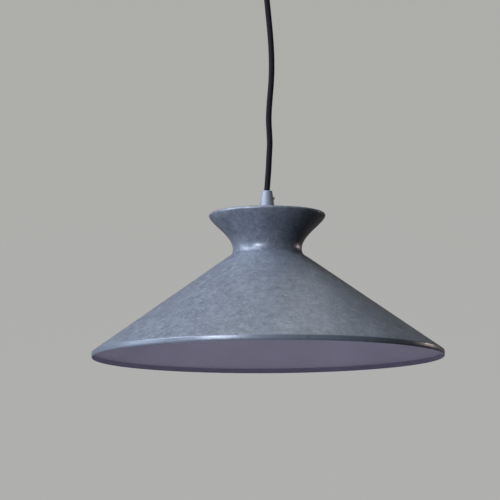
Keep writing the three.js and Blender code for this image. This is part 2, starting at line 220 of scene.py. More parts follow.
# ---------- node helpers ----------
class Nodes:
    """The node tree of a material or the world, with short calls for the nodes it needs."""

    def __init__(self, owner):
        owner.use_nodes = True
        self.owner = owner
        self.tree = owner.node_tree
        self.shader = self.tree.nodes.get("Principled BSDF") or self.tree.nodes["Background"]

    def add(self, kind, **settings):
        node = self.tree.nodes.new(kind)
        for key, value in settings.items():
            setattr(node, key, value)
        return node

    def link(self, source, target):
        self.tree.links.new(source, target)

    def set(self, **values):
        for key, value in values.items():
            self.shader.inputs[key.replace("_", " ")].default_value = value

    def position(self):
        return self.add("ShaderNodeTexCoord").outputs["Object"]

    def flat(self, position):
        """A position without its height, and its distance from the Z axis."""
        across = self.add("ShaderNodeVectorMath", operation="MULTIPLY")
        across.inputs[1].default_value = (1, 1, 0)
        self.link(position, across.inputs[0])
        distance = self.add("ShaderNodeVectorMath", operation="LENGTH")
        self.link(across.outputs[0], distance.inputs[0])
        return across.outputs[0], distance.outputs["Value"]

    def height(self, position):
        split = self.add("ShaderNodeSeparateXYZ")
        self.link(position, split.inputs[0])
        return split.outputs["Z"]

    def round_axis(self, around, along):
        """A seamless coordinate on a body turned about Z. It runs around the body, and along
        a mix of height and radius, so that flat faces get rings too."""
        position = self.position()
        across, radius = self.flat(position)
        unit = self.add("ShaderNodeVectorMath", operation="NORMALIZE")
        self.link(across, unit.inputs[0])
        circle = self.add("ShaderNodeVectorMath", operation="SCALE")
        circle.inputs["Scale"].default_value = around
        self.link(unit.outputs[0], circle.inputs[0])
        level = self.math("SUBTRACT", self.height(position), self.math("MULTIPLY", radius, 0.4))
        lift = self.add("ShaderNodeCombineXYZ")
        self.link(self.math("MULTIPLY", level, along), lift.inputs["Z"])
        total = self.add("ShaderNodeVectorMath", operation="ADD")
        self.link(circle.outputs[0], total.inputs[0])
        self.link(lift.outputs[0], total.inputs[1])
        return total.outputs[0]

    def noise(self, vector, scale, detail=3.0, roughness=0.5, distortion=0.0):
        node = self.add("ShaderNodeTexNoise")
        node.inputs["Scale"].default_value = scale
        node.inputs["Detail"].default_value = detail
        node.inputs["Roughness"].default_value = roughness
        node.inputs["Distortion"].default_value = distortion
        self.link(vector, node.inputs["Vector"])
        return node.outputs["Fac"]

    def hairlines(self, vector, scale, distortion, width):
        """Thin curling lines, 1 on a line and 0 off it, broken into short lengths."""
        level = self.noise(vector, scale, 2, 0.5, distortion)
        off = self.math("ABSOLUTE", self.math("SUBTRACT", level, 0.5))
        line = self.grey(off, 1, 0, 0, width)
        broken = self.grey(self.noise(vector, scale * 1.7, 2, 0.5), 0, 1, 0.48, 0.58)
        return self.math("MULTIPLY", line, broken)

    def ramp(self, value, stops):
        """A colour for each value, blended between stops of a place and a colour."""
        node = self.add("ShaderNodeValToRGB")
        elements = node.color_ramp.elements
        while len(elements) < len(stops):
            elements.new(0.5)
        for element, (place, color) in zip(elements, stops):
            element.position = place
            element.color = (*color, 1)
        self.link(value, node.inputs["Fac"])
        return node.outputs["Color"]

    def grey(self, value, low, high, start=0.0, end=1.0):
        """A number that goes from low to high while value goes from start to end."""
        node = self.add("ShaderNodeMapRange")
        node.inputs["From Min"].default_value = start
        node.inputs["From Max"].default_value = end
        node.inputs["To Min"].default_value = low
        node.inputs["To Max"].default_value = high
        self.link(value, node.inputs["Value"])
        return node.outputs["Result"]

    def mix(self, factor, first, second, blend="MIX"):
        node = self.add("ShaderNodeMix", data_type="RGBA", blend_type=blend)
        for value, socket in ((factor, 0), (first, 6), (second, 7)):
            if isinstance(value, (int, float)):
                node.inputs[socket].default_value = value
            elif isinstance(value, tuple):
                node.inputs[socket].default_value = (*value, 1)
            else:
                self.link(value, node.inputs[socket])
        return node.outputs[2]

    def math(self, operation, first, second=0.0):
        node = self.add("ShaderNodeMath", operation=operation)
        for value, socket in ((first, 0), (second, 1)):
            if isinstance(value, (int, float)):
                node.inputs[socket].default_value = value
            else:
                self.link(value, node.inputs[socket])
        return node.outputs[0]

    def color(self, value):
        self.link(value, self.shader.inputs["Base Color"])

    def rough(self, value):
        self.link(value, self.shader.inputs["Roughness"])

    def bump(self, value, distance, strength):
        node = self.add("ShaderNodeBump")
        node.inputs["Distance"].default_value = distance
        node.inputs["Strength"].default_value = strength
        self.link(value, node.inputs["Height"])
        self.link(node.outputs["Normal"], self.shader.inputs["Normal"])


# ---------- materials ----------
def shade_paint():
    """Cloudy blue-grey satin paint with swirling hairlines and pale rub marks. It is plainer
    on the lip."""
    n = Nodes(bpy.data.materials.new("shade_paint"))
    n.set(Metallic=0.2, Specular_IOR_Level=0.5)
    here = n.position()
    clouds = n.noise(here, 30, 4, 0.62, 0.5)
    mottle = n.noise(here, 150, 4, 0.68, 0.8)
    pale = n.hairlines(here, 42, 2.6, 0.030)
    dark = n.hairlines(here, 78, 2.0, 0.038)
    rubs = n.grey(n.noise(n.round_axis(30, 620), 1, 2, 0.5), 0, 1, 0.65, 0.72)
    lip = n.grey(n.height(here), 1, 0, *LIP_COAT_FADE)
    color = n.ramp(clouds, [(0.32, (0.168, 0.195, 0.235)), (0.68, (0.206, 0.233, 0.280))])
    uneven = n.ramp(mottle, [(0.36, (0.79, 0.79, 0.80)), (0.64, (1.21, 1.21, 1.20))])
    color = n.mix(1.0, color, uneven, "MULTIPLY")
    marks = (
        (pale, 0.42, (0.34, 0.38, 0.44)),
        (dark, 0.42, (0.085, 0.10, 0.13)),
        (rubs, 0.55, (0.50, 0.53, 0.56)),
        (lip, 0.75, (0.187, 0.216, 0.262)),
    )
    for mask, strength, tint in marks:
        color = n.mix(n.math("MULTIPLY", mask, strength), color, tint)
    n.color(color)
    gloss = n.grey(n.math("ADD", mottle, clouds), 0.31, 0.40, 0.7, 1.3)
    n.rough(n.math("SUBTRACT", gloss, n.math("MULTIPLY", lip, 0.04)))
    n.bump(n.math("ADD", mottle, pale), 0.06 * MM, 0.22)
    return n.owner


def inside_paint_and_shade():
    """Pale lilac-grey satin paint with a soft orange-peel surface. Its grey is darker than the
    white paint of the real inside: painted shade.
    """
    n = Nodes(bpy.data.materials.new("inside_paint_and_shade"))
    here = n.position()
    soft = n.noise(here, 18, 3, 0.5)
    peel = n.noise(here, 900, 2, 0.5)
    # a lilac-grey darker than the real white paint: painted shade on the insides of the shade and
    # the cup
    n.color(n.ramp(soft, [(0.35, (0.51, 0.487, 0.635)), (0.65, (0.555, 0.53, 0.68))]))
    n.rough(n.grey(peel, 0.42, 0.55))
    n.bump(peel, 0.05 * MM, 0.6)
    return n.owner


def metal(name, color, roughness, around=30, along=1800, metallic=1.0):
    """Turned or rolled metal: fine lines round its axis, with slight colour and gloss changes."""
    n = Nodes(bpy.data.materials.new(name))
    n.set(Metallic=metallic)
    lines = n.noise(n.round_axis(around, along), 1, 4, 0.6)
    cloud = n.noise(n.position(), 160, 3, 0.55)
    dark = tuple(c * 0.82 for c in color)
    n.color(n.ramp(cloud, [(0.3, dark), (0.7, color)]))
    uneven = n.math("ADD", lines, cloud)
    n.rough(n.grey(uneven, roughness - 0.05, roughness + 0.1, 0.7, 1.3))
    n.bump(lines, 0.02 * MM, 0.6)
    return n.owner


def plastic(name, color, roughness, grain=700):
    """Moulded plastic or glazed ceramic: a faint cloud in its colour and a fine grain."""
    n = Nodes(bpy.data.materials.new(name))
    here = n.position()
    cloud = n.noise(here, 60, 3, 0.5)
    fine = n.noise(here, grain, 2, 0.6)
    low = tuple(c * 0.86 for c in color)
    n.color(n.ramp(cloud, [(0.3, low), (0.7, color)]))
    n.rough(n.grey(fine, roughness - 0.06, roughness + 0.08))
    n.bump(fine, 0.04 * MM, 0.5)
    return n.owner


def cloth():
    """Black braided textile: dull yarns with a fine fibre along them."""
    n = Nodes(bpy.data.materials.new("cord_cloth"))
    n.set(Sheen_Weight=0.03, Sheen_Roughness=0.5, Specular_IOR_Level=0.12)
    here = n.position()
    fibre = n.noise(here, 2600, 2, 0.6)
    wear = n.noise(here, 120, 3, 0.6)
    tone = n.math("ADD", fibre, wear)
    n.color(n.ramp(tone, [(0.35, (0.004, 0.004, 0.005)), (0.7, (0.013, 0.013, 0.016))]))
    n.rough(n.grey(fibre, 0.75, 0.95))
    n.bump(fibre, 0.08 * MM, 0.7)
    return n.owner


def opal():
    """Opal glass, with a faint unevenness in the white."""
    n = Nodes(bpy.data.materials.new("opal_glass"))
    n.set(Subsurface_Weight=0.35, Subsurface_Scale=0.01, Coat_Weight=0.4, Coat_Roughness=0.08)
    here = n.position()
    cloud = n.noise(here, 35, 3, 0.5)
    n.color(n.ramp(cloud, [(0.35, (0.78, 0.77, 0.74)), (0.65, (0.86, 0.85, 0.82))]))
    n.rough(n.grey(n.noise(here, 300, 2, 0.5), 0.14, 0.24))
    return n.owner


def earth_insulation():
    """Green insulation with a yellow stripe down it."""
    n = Nodes(bpy.data.materials.new("earth_core"))
    here = n.position()
    stripe = n.add("ShaderNodeTexWave", wave_type="BANDS", bands_direction="X")
    stripe.inputs["Scale"].default_value = 150
    n.link(here, stripe.inputs["Vector"])
    n.color(n.ramp(stripe.outputs["Fac"], [(0.45, (0.05, 0.22, 0.04)), (0.55, (0.62, 0.55, 0.05))]))
    n.rough(n.grey(n.noise(here, 800, 2, 0.5), 0.36, 0.5))
    return n.owner


LOOK = {
    "paint": shade_paint(),
    "inside": inside_paint_and_shade(),
    "grip": metal("grip_metal", (0.26, 0.30, 0.355), 0.46, metallic=0.15),
    "steel": metal("zinc_steel", (0.55, 0.56, 0.58), 0.38, 12, 300),
    "nickel": metal("nickel", (0.66, 0.65, 0.63), 0.22),
    "brass": metal("brass", (0.72, 0.50, 0.20), 0.28),
    "cloth": cloth(),
    "holder": plastic("holder_plastic", (0.022, 0.022, 0.024), 0.3),
    "ceramic": plastic("core_ceramic", (0.78, 0.75, 0.69), 0.3, 1400),
    "block": plastic("block_plastic", (0.76, 0.76, 0.73), 0.45),
    "live": plastic("live_core", (0.16, 0.06, 0.025), 0.42),
    "neutral": plastic("neutral_core", (0.03, 0.12, 0.42), 0.42),
    "earth": earth_insulation(),
    "opal": opal(),
    "bead": plastic("bead_glass", (0.012, 0.012, 0.014), 0.12),
}


# ---------- mesh helpers ----------
def new_mesh(name, vertices, faces, materials, slots=None, sharp=None):
    """A smooth mesh object. slots gives each face its material, and edges that turn by more
    than sharp degrees stay crisp."""
    mesh = bpy.data.meshes.new(name)
    mesh.from_pydata([tuple(v) for v in vertices], [], faces)
    for material in materials:
        mesh.materials.append(material)
    if slots is not None:
        mesh.polygons.foreach_set("material_index", slots)
    mesh.update()
    obj = bpy.data.objects.new(name, mesh)
    scene.collection.objects.link(obj)
    bm = bmesh.new()
    bm.from_mesh(mesh)
    bmesh.ops.remove_doubles(bm, verts=bm.verts, dist=1e-7)
    bmesh.ops.recalc_face_normals(bm, faces=bm.faces)
    for face in bm.faces:
        face.smooth = True
    if sharp is not None:
        limit = math.radians(sharp)
        for edge in bm.edges:
            edge.smooth = not (edge.is_manifold and edge.calc_face_angle(0) > limit)
    bm.to_mesh(mesh)
    bm.free()
    return obj


def rounded(outline, radius):
    """A closed [r, z] outline with each of its corners turned into a small arc."""
    steps = 3
    result = []
    for i, point in enumerate(outline):
        here = np.array(point, float)
        before = np.array(outline[i - 1], float) - here
        after = np.array(outline[(i + 1) % len(outline)], float) - here
        a, b = np.linalg.norm(before), np.linalg.norm(after)
        turn = abs(math.atan2(before[0] * after[1] - before[1] * after[0], before @ after))
        if here[0] < ON_AXIS or turn > math.radians(165):
            result.append(tuple(here))
            continue
        size = min(radius, 0.45 * a, 0.45 * b)
        start, end = here + before / a * size, here + after / b * size
        for k in range(steps + 1):
            t = k / steps
            result.append(tuple((1 - t) ** 2 * start + 2 * t * (1 - t) * here + t * t * end))
    return result


def turned(name, outline, materials, segments, slots=None, sharp=40, radius_at=None):
    """A body of revolution about Z from a closed [r, z] outline in metres. radius_at(angle,
    r, z) may change a point's radius, and slots gives each outline step its material."""
    count = len(outline)
    vertices = []
    for i in range(segments):
        angle = 2 * math.pi * i / segments
        for r, z in outline:
            radius = radius_at(angle, r, z) if radius_at else r
            vertices.append((radius * math.cos(angle), radius * math.sin(angle), z))
    faces = []
    chosen = []
    for i in range(segments):
        j = (i + 1) % segments
        for k in range(count):
            m = (k + 1) % count
            if outline[k][0] < ON_AXIS and outline[m][0] < ON_AXIS:
                continue
            quad = [i * count + k, j * count + k, j * count + m, i * count + m]
            if outline[k][0] < ON_AXIS:
                quad.pop(1)
            elif outline[m][0] < ON_AXIS:
                quad.pop(2)
            faces.append(quad)
            chosen.append(slots[k] if slots else 0)
    return new_mesh(name, vertices, faces, materials, chosen, sharp)


def smooth_path(points, spacing):
    """Evenly spaced points along a centripetal Catmull-Rom curve through the given ones, and
    the curve's length."""
    p = [np.array(q, float) for q in points]
    p = [2 * p[0] - p[1], *p, 2 * p[-1] - p[-2]]
    dense = []
    for a, b, c, d in zip(p, p[1:], p[2:], p[3:]):
        t0 = 0.0
        t1 = t0 + np.linalg.norm(b - a) ** 0.5
        t2 = t1 + np.linalg.norm(c - b) ** 0.5
        t3 = t2 + np.linalg.norm(d - c) ** 0.5
        for t in np.linspace(t1, t2, 24, endpoint=False):
            ab = (t1 - t) / (t1 - t0) * a + (t - t0) / (t1 - t0) * b
            bc = (t2 - t) / (t2 - t1) * b + (t - t1) / (t2 - t1) * c
            cd = (t3 - t) / (t3 - t2) * c + (t - t2) / (t3 - t2) * d
            abc = (t2 - t) / (t2 - t0) * ab + (t - t0) / (t2 - t0) * bc
            bcd = (t3 - t) / (t3 - t1) * bc + (t - t1) / (t3 - t1) * cd
            dense.append((t2 - t) / (t2 - t1) * abc + (t - t1) / (t2 - t1) * bcd)
    dense.append(p[-2])
    dense = np.array(dense)
    along = np.concatenate([[0], np.cumsum(np.linalg.norm(np.diff(dense, axis=0), axis=1))])
    count = max(3, int(round(along[-1] / spacing)))
    wanted = np.linspace(0, along[-1], count + 1)
    return np.stack([np.interp(wanted, along, dense[:, k]) for k in range(3)], 1), along[-1]


def tube(name, path, radius, sides, material, relief=None, sharp=None):
    """A round tube along path. relief(angle, distance) is added to its radius."""
    tangents = np.gradient(path, axis=0)
    tangents /= np.linalg.norm(tangents, axis=1)[:, None]
    across = np.cross(tangents[0], (0.0, 1.0, 0.0))
    if np.linalg.norm(across) < 0.1:
        across = np.cross(tangents[0], (1.0, 0.0, 0.0))
    vertices = []
    distance = 0.0
    for i, (point, tangent) in enumerate(zip(path, tangents)):
        across = across - tangent * (across @ tangent)
        across /= np.linalg.norm(across)
        side = np.cross(tangent, across)
        if i:
            distance += np.linalg.norm(point - path[i - 1])
        for k in range(sides):
            angle = 2 * math.pi * k / sides
            r = radius + (relief(angle, distance) if relief else 0.0)
            vertices.append(point + r * (math.cos(angle) * across + math.sin(angle) * side))
    rings = len(path)
    faces = []
    for here in range(0, (rings - 1) * sides, sides):
        for k in range(sides):
            m = (k + 1) % sides
            faces.append([here + k, here + m, here + sides + m, here + sides + k])
    last = (rings - 1) * sides
    middle = len(vertices)
    vertices += [path[0], path[-1]]
    for k in range(sides):
        m = (k + 1) % sides
        faces.append([middle, m, k])
        faces.append([middle + 1, last + k, last + m])
    return new_mesh(name, vertices, faces, [material], sharp=sharp)


def put(obj, body, slot, *nodes):
    """Finishes a piece: its body and the CAD nodes it stands for, which it hides. The slot
    argument, the record's slot, is not used.
    """
    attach(obj, body)
    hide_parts(*nodes)


def transformed(obj, matrix):
    """Moves a piece's points and leaves its origin where it is."""
    obj.data.transform(matrix)
    obj.data.update()
    return obj


def carved(obj, cutters):
    """Cuts the cutters' shapes out of obj, removes them, and takes out the slivers they leave."""
    for cutter in cutters:
        modifier = obj.modifiers.new("cut", "BOOLEAN")
        modifier.operation = "DIFFERENCE"
        modifier.solver = "EXACT"
        modifier.object = cutter
    bpy.context.view_layer.update()
    evaluated = obj.evaluated_get(bpy.context.evaluated_depsgraph_get())
    mesh = bpy.data.meshes.new_from_object(evaluated)
    obj.modifiers.clear()
    obj.data = mesh
    for cutter in cutters:
        bpy.data.objects.remove(cutter)
    scratch = bmesh.new()
    scratch.from_mesh(mesh)
    bmesh.ops.dissolve_degenerate(scratch, dist=SLIVER, edges=scratch.edges)
    scratch.to_mesh(mesh)
    scratch.free()


def block_mesh(name, low, high):
    """A box between two opposite corners."""
    (x0, y0, z0), (x1, y1, z1) = low, high
    vertices = [(x, y, z) for x in (x0, x1) for y in (y0, y1) for z in (z0, z1)]
    faces = [[0, 1, 3, 2], [4, 6, 7, 5], [0, 4, 5, 1], [2, 3, 7, 6], [0, 2, 6, 4], [1, 5, 7, 3]]
    return new_mesh(name, vertices, faces, [], sharp=30)


def driver_slot(reach, width, low, high):
    """A cutter for the slot across the head of a screw that stands along Z."""
    return block_mesh("slot", (-reach, -width / 2, low), (reach, width / 2, high))


def softened(obj, width):
    """Rounds a CAD piece's edges."""
    modifier = obj.modifiers.new("edges", "BEVEL")
    modifier.width = width
    modifier.segments = 2
    modifier.limit_method = "ANGLE"
    modifier.angle_limit = math.radians(35)
    modifier.harden_normals = True


def metres(outline, base=0.0):
    """An outline given in millimetres above base, in metres."""
    return [(r * MM, base + z * MM) for r, z in outline]


def at_rim(outline):
    """An outline given in millimetres above the rim plane, in metres."""
    return metres(outline, RIM_Z)


def arc(centre, radius, first, last, steps):
    """Points round a centre between two angles in degrees."""
    angles = np.radians(np.linspace(first, last, steps + 1))
    return [(centre[0] + radius * math.cos(a), centre[1] + radius * math.sin(a)) for a in angles]


def thread(floor, depth, pitch, low, high, zero=0.0):
    """A rounded screw thread in what lies further out than floor. It fades out at both ends
    of its length, and its turns are counted from the height zero."""

    def radius_at(angle, r, z):
        if r < floor:
            return r
        fade = min(1, max(0, (z - low) / pitch), max(0, (high - z) / pitch))
        turn = (z - zero) / pitch - angle / (2 * math.pi)
        return r - depth * fade * (0.5 - 0.5 * math.cos(2 * math.pi * turn))

    return radius_at


# ---------- cord ----------
def braid(angle, distance):
    """Height of a diamond braid over the cord's core: two sets of yarns that cross."""
    turn = YARNS * angle / (2 * math.pi)
    pitch = distance / YARN_LAY
    left, right = turn / 2 + pitch, turn / 2 - pitch
    over = math.cos(math.pi * (left + right)) * math.cos(math.pi * (left - right))
    first = math.cos(math.pi * left) ** 2 * (0.78 + 0.22 * over)
    second = math.cos(math.pi * right) ** 2 * (0.78 - 0.22 * over)
    return YARN_H * max(first, second)


def make_cord():
    """The cord between the grips. Each row of drift is a share of the way up, and how far the
    cord strays there in X and Y, in millimetres."""
    low = SHADE_GRIP_Z + GRIP_H + GAP
    high = ROSE_GRIP_Z - GRIP_H - GAP
    drift = [
        (0, 0, 0),
        (0.04, 0.8, 0),
        (0.1, 2.0, 0.2),
        (0.16, 2.8, 0.4),
        (0.22, 3.6, 0.5),
        (0.27, 3.2, 0.3),
        (0.33, 2.6, 0),
        (0.38, 3.1, -0.2),
        (0.44, 4.3, 0),
        (0.5, 5.6, 0.3),
        (0.56, 6.3, 0.4),
        (0.63, 6.3, 0.3),
        (0.72, 5.2, 0),
        (0.83, 2.9, 0),
        (0.93, 0.8, 0),
        (1, 0, 0),
    ]
    points = [(x * MM, y * MM, low + share * (high - low)) for share, x, y in drift]
    path, length = smooth_path(points, 0.5 * MM)
    cord = tube("cord_braid", path, CORD_R - YARN_H, CORD_SIDES, LOOK["cloth"], braid)
    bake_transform(cord)
    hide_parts("cord")
    return cord, path, length


cord, cord_path, cord_length = make_cord()


# ---------- shade ----------
def bezier(corners, steps):
    """Points along the cubic curve that four corners set, without its first point."""
    p0, p1, p2, p3 = (np.array(corner, float) for corner in corners)
    points = []
    for k in range(1, steps + 1):
        t = k / steps
        curve = (1 - t) ** 3 * p0 + 3 * t * (1 - t) ** 2 * p1 + 3 * t * t * (1 - t) * p2 + t**3 * p3
        points.append(tuple(curve))
    return points


def shade_outline():
    """The spun shade's outer line from the rim to the hub hole, and back the same line moved
    one millimetre in. A ring halfway up the lip and one on the top keep both flat in shading."""
    outer = [(RIM_R - 0.3, 0), (RIM_R, 0.3), (RIM_R, LIP_H / 2)]
    outer += arc((RIM_R - LIP_SHOULDER_R, LIP_H), LIP_SHOULDER_R, 0, 54, 6)
    cone_start, cone_end = np.array(outer[-1]), np.array(CONE_END)
    shares = np.linspace(0, 1, 14)[1:]
    outer += [tuple(cone_start + share * (cone_end - cone_start)) for share in shares]
    neck = (NECK_R, NECK_Z)
    outer += bezier([CONE_END, CONE_CURVE, (NECK_R, NECK_Z - NECK_BELOW), neck], 10)
    outer += bezier([neck, (NECK_R, NECK_Z + NECK_ABOVE), FLARE_CURVE, FLARE_END], 22)
    outer += arc(EDGE_CENTRE, EDGE_R, -22, 90, 12)[1:]
    outer += [(30, TOP_H), (HUB_HOLE_R, TOP_H)]
    inner = []
    for i, (r, z) in enumerate(outer):
        r0, z0 = outer[max(i - 1, 0)]
        r1, z1 = outer[min(i + 1, len(outer) - 1)]
        size = math.hypot(r1 - r0, z1 - z0)
        inner.append((r - (z1 - z0) / size, z + (r1 - r0) / size))
    inner[:2] = [(RIM_R - 1, 0), (RIM_R - 1, 0.4)]
    inner[-1] = (HUB_HOLE_R, TOP_H - 1)
    return outer, inner[::-1]


def make_shade():
    outer, inner = shade_outline()
    outline = at_rim(outer + inner)
    slots = [0 if k < len(outer) - 1 else 1 for k in range(len(outline))]
    shade = turned("shade_shell", outline, [LOOK["paint"], LOOK["inside"]], 288, slots, 50)
    put(shade, "shade", "shade_paint", "shade_cone", "shade_crown")


make_shade()


# ---------- cord grips ----------
def grip_outline():
    """A tapered grip standing on z = 0, in millimetres: its foot with a groove over it, its
    rounded tip, the bore for the cord and the socket for the threaded tube."""
    top = GRIP_H / MM
    foot = [(GRIP_SOCKET_R, 0), (GRIP_BASE_R - 0.3, 0), (GRIP_BASE_R, 0.4), (9.35, 1.8)]
    groove = [(9.1, 2.1), (9.1, 2.5), (9.25, 2.8)]
    tip = [(6.1, top - 1), (5.9, top - 0.4), (5.3, top), (4.2, top), (GRIP_BORE_R, top - 0.5)]
    socket = [(GRIP_BORE_R, GRIP_SOCKET), (GRIP_SOCKET_R, GRIP_SOCKET)]
    return foot + groove + tip + socket


def make_grip(name, body, base, upright, node):
    outline = [(r * MM, base + (z if upright else -z) * MM) for r, z in grip_outline()]
    grip = turned(name, rounded(outline, 0.35 * MM), [LOOK["grip"]], 96, sharp=45)
    put(grip, body, "grip_metal", node)


def make_grip_screw(name, body, z, node):
    """The clamp screw in a grip's side. It is made along Z and laid along X, slot outward."""
    bevel = GRIP_SCREW_R - 0.4
    side = [(GRIP_SCREW_R, GRIP_SCREW_IN), (GRIP_SCREW_R, GRIP_SCREW_OUT - 0.4)]
    outline = metres([(0, GRIP_SCREW_IN), *side, (bevel, GRIP_SCREW_OUT), (0, GRIP_SCREW_OUT)])
    screw = turned(name, rounded(outline, 0.2 * MM), [LOOK["nickel"]], 40, sharp=40)
    low, high = (GRIP_SCREW_OUT - 0.7) * MM, (GRIP_SCREW_OUT + 1.2) * MM
    carved(screw, [driver_slot(3 * MM, 0.6 * MM, low, high)])
    transformed(screw, Matrix.Rotation(math.pi / 2, 4, "Y"))
    transformed(screw, Matrix.Translation((0, 0, z)))
    put(screw, body, "nickel", node)


make_grip("shade_grip_body", "shade", SHADE_GRIP_Z, True, "shade_grip")
make_grip("rose_grip_body", "cup", ROSE_GRIP_Z, False, "rose_grip")
make_grip_screw("shade_clamp_screw", "shade", SHADE_GRIP_Z + GRIP_SCREW_UP, "shade_grip_screw")
make_grip_screw("rose_clamp_screw", "cup", ROSE_GRIP_Z - GRIP_SCREW_UP, "rose_grip_screw")


# ---------- threaded tubes, nuts and washer ----------
def make_threaded_tube(name, body, low, high, node):
    wall = [(TUBE_R, low + (high - low) * k / 160) for k in range(161)]
    outline = [(TUBE_BORE_R, low), *wall, (TUBE_BORE_R, high)]
    radius_at = thread(TUBE_R - 0.1 * MM, TUBE_THREAD, TUBE_PITCH, low, high)
    pipe = turned(name, outline, [LOOK["steel"]], 48, sharp=60, radius_at=radius_at)
    put(pipe, body, "zinc_steel", node)


def make_nut(name, body, low, node):
    """A hexagon nut with chamfered corners on both faces."""
    high = low + NUT_H
    circle = NUT_FLATS / math.sqrt(3)

    def radius_at(angle, r, z):
        if r < NUT_HOLE_R + 0.1 * MM:
            return r
        sector = (angle % (math.pi / 3)) - math.pi / 6
        edge = NUT_FLATS / 2 / math.cos(sector)
        inset = max(0, NUT_CHAMFER - min(z - low, high - z)) * 1.2
        return min(edge, circle - inset) * (r / circle)

    side = [(circle, low + NUT_H * k / 10) for k in range(11)]
    outline = [(NUT_HOLE_R, low), (NUT_LAND_R, low), *side, (NUT_LAND_R, high), (NUT_HOLE_R, high)]
    nut = turned(name, outline, [LOOK["steel"]], 144, sharp=35, radius_at=radius_at)
    put(nut, body, "zinc_steel", node)


def make_toothed_washer():
    low, high = WASHER_Z, WASHER_Z + WASHER_T

    def radius_at(angle, r, z):
        if r < WASHER_RING_R + 0.1 * MM:
            return r
        return r - WASHER_TOOTH * (0.5 + 0.5 * math.tanh(4 * math.cos(WASHER_TEETH * angle)))

    radii = (NUT_HOLE_R, WASHER_RING_R, WASHER_R)
    outline = [(r, low) for r in radii] + [(r, high) for r in reversed(radii)]
    washer = turned("toothed_washer", outline, [LOOK["steel"]], 280, sharp=35, radius_at=radius_at)
    put(washer, "shade", "zinc_steel", "lock_washer")


make_threaded_tube("hub_tube", "shade", *HUB_TUBE_ENDS, "nipple")
make_threaded_tube("cup_tube", "cup", *CUP_TUBE_ENDS, "rose_nipple")
make_nut("hub_nut", "shade", WASHER_Z - GAP - NUT_H, "lock_nut")
make_nut("cup_nut", "cup", CUP_FLOOR_Z + SHEET + GAP, "rose_nut")
make_toothed_washer()


# ---------- short cord ends and cores ----------
def make_cord_end(name, body, low, high, node):
    path, _ = smooth_path([(0, 0, low), (0, 0, (low + high) / 2), (0, 0, high)], 0.6 * MM)
    piece = tube(name, path, CORD_R - YARN_H, CORD_SIDES, LOOK["cloth"], braid, sharp=70)
    put(piece, body, "cord_cloth", node)


def make_rose_wires():
    """The cores in the ceiling cup. Each fans out of the cord's end, loops up in front of the
    block and goes back into its way. The points are in millimetres."""
    for name, k in WAYS:
        x = WAY_PITCH * k
        fan = [(k * 1.3, -0.8, -33.6), (k * 3.4, -5, -32), (k * 7, -15, -29)]
        if name == "earth":
            fan = [(0, 1.4, -33.6), (0, 0.2, -30), (0, -15, -26.5)]
        loop = [(x, -23, -21), (x, -19.5, -11), (x, -13, WAY_Z), (x, -5, WAY_Z)]
        path, _ = smooth_path([(a * MM, b * MM, c * MM) for a, b, c in fan + loop], 0.5 * MM)
        wire = tube(f"cup_core_{name}", path, CORE_R, 20, LOOK[name], sharp=60)
        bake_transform(wire)
        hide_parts(f"rose_wire_{name}")


def make_holder_wires():
    """The cores in the shade, from the cord's end down and out to the lampholder's screws."""
    route = at_rim([(1.6, 149.6), (2.4, 147.6), (6, 145.6), (10.5, 144.4)])
    for name, degrees in HOLDER_WAYS:
        x, y = math.cos(math.radians(degrees)), math.sin(math.radians(degrees))
        path, _ = smooth_path([(r * x, r * y, z) for r, z in route], 0.4 * MM)
        wire = tube(f"holder_core_{name}", path, CORE_R * 0.85, 20, LOOK[name], sharp=60)
        put(wire, "shade", f"{name}_core", f"holder_wire_{name}")


make_cord_end("cord_end_low", "shade", *LOW_CORD_END, "cord_lower_end")
make_cord_end("cord_end_high", "cup", *HIGH_CORD_END, "cord_upper_end")
make_rose_wires()
make_holder_wires()


# ---------- ceiling cup and bracket ----------
def make_cup():
    """The spun cup, with a slot in its wall over each side screw, open at the ceiling."""
    hole_r = NUT_HOLE_R + 0.05 * MM
    corner = (CUP_R - CUP_CORNER_R, CUP_FLOOR_Z + CUP_CORNER_R)
    wall_r = CUP_R - SHEET
    chamfer = 0.2 * MM
    outer = [(hole_r, CUP_FLOOR_Z), *arc(corner, CUP_CORNER_R, -90, 0, 12)]
    outer += [(CUP_R, CUP_RING_Z), (CUP_R, CUP_RIM_Z - chamfer), (CUP_R - chamfer, CUP_RIM_Z)]
    inner = [(wall_r + chamfer, CUP_RIM_Z), (wall_r, CUP_RIM_Z - chamfer), (wall_r, CUP_RING_Z)]
    inner += [*arc(corner, CUP_CORNER_R - SHEET, 0, -90, 12), (hole_r, CUP_FLOOR_Z + SHEET)]
    outline = outer + inner
    slots = [0 if k < len(outer) else 1 for k in range(len(outline))]
    cup = turned("cup_shell", outline, [LOOK["paint"], LOOK["inside"]], 192, slots, 50)
    near, far = CUP_R - 10 * MM, CUP_R + 10 * MM
    cutters = []
    for side in (-1, 1):
        hole = turned("hole", [(0, near), (CUP_SLOT_R, near), (CUP_SLOT_R, far), (0, far)], [], 40)
        transformed(hole, Matrix.Rotation(side * math.pi / 2, 4, "Y"))
        transformed(hole, Matrix.Translation((0, 0, CUP_SCREW_Z)))
        x0, x1 = sorted((side * near, side * far))
        slit = block_mesh("slit", (x0, -CUP_SLOT_R, CUP_SCREW_Z), (x1, CUP_SLOT_R, 1 * MM))
        cutters += [hole, slit]
    carved(cup, cutters)
    put(cup, "cup", "shade_paint", "rose_cup")


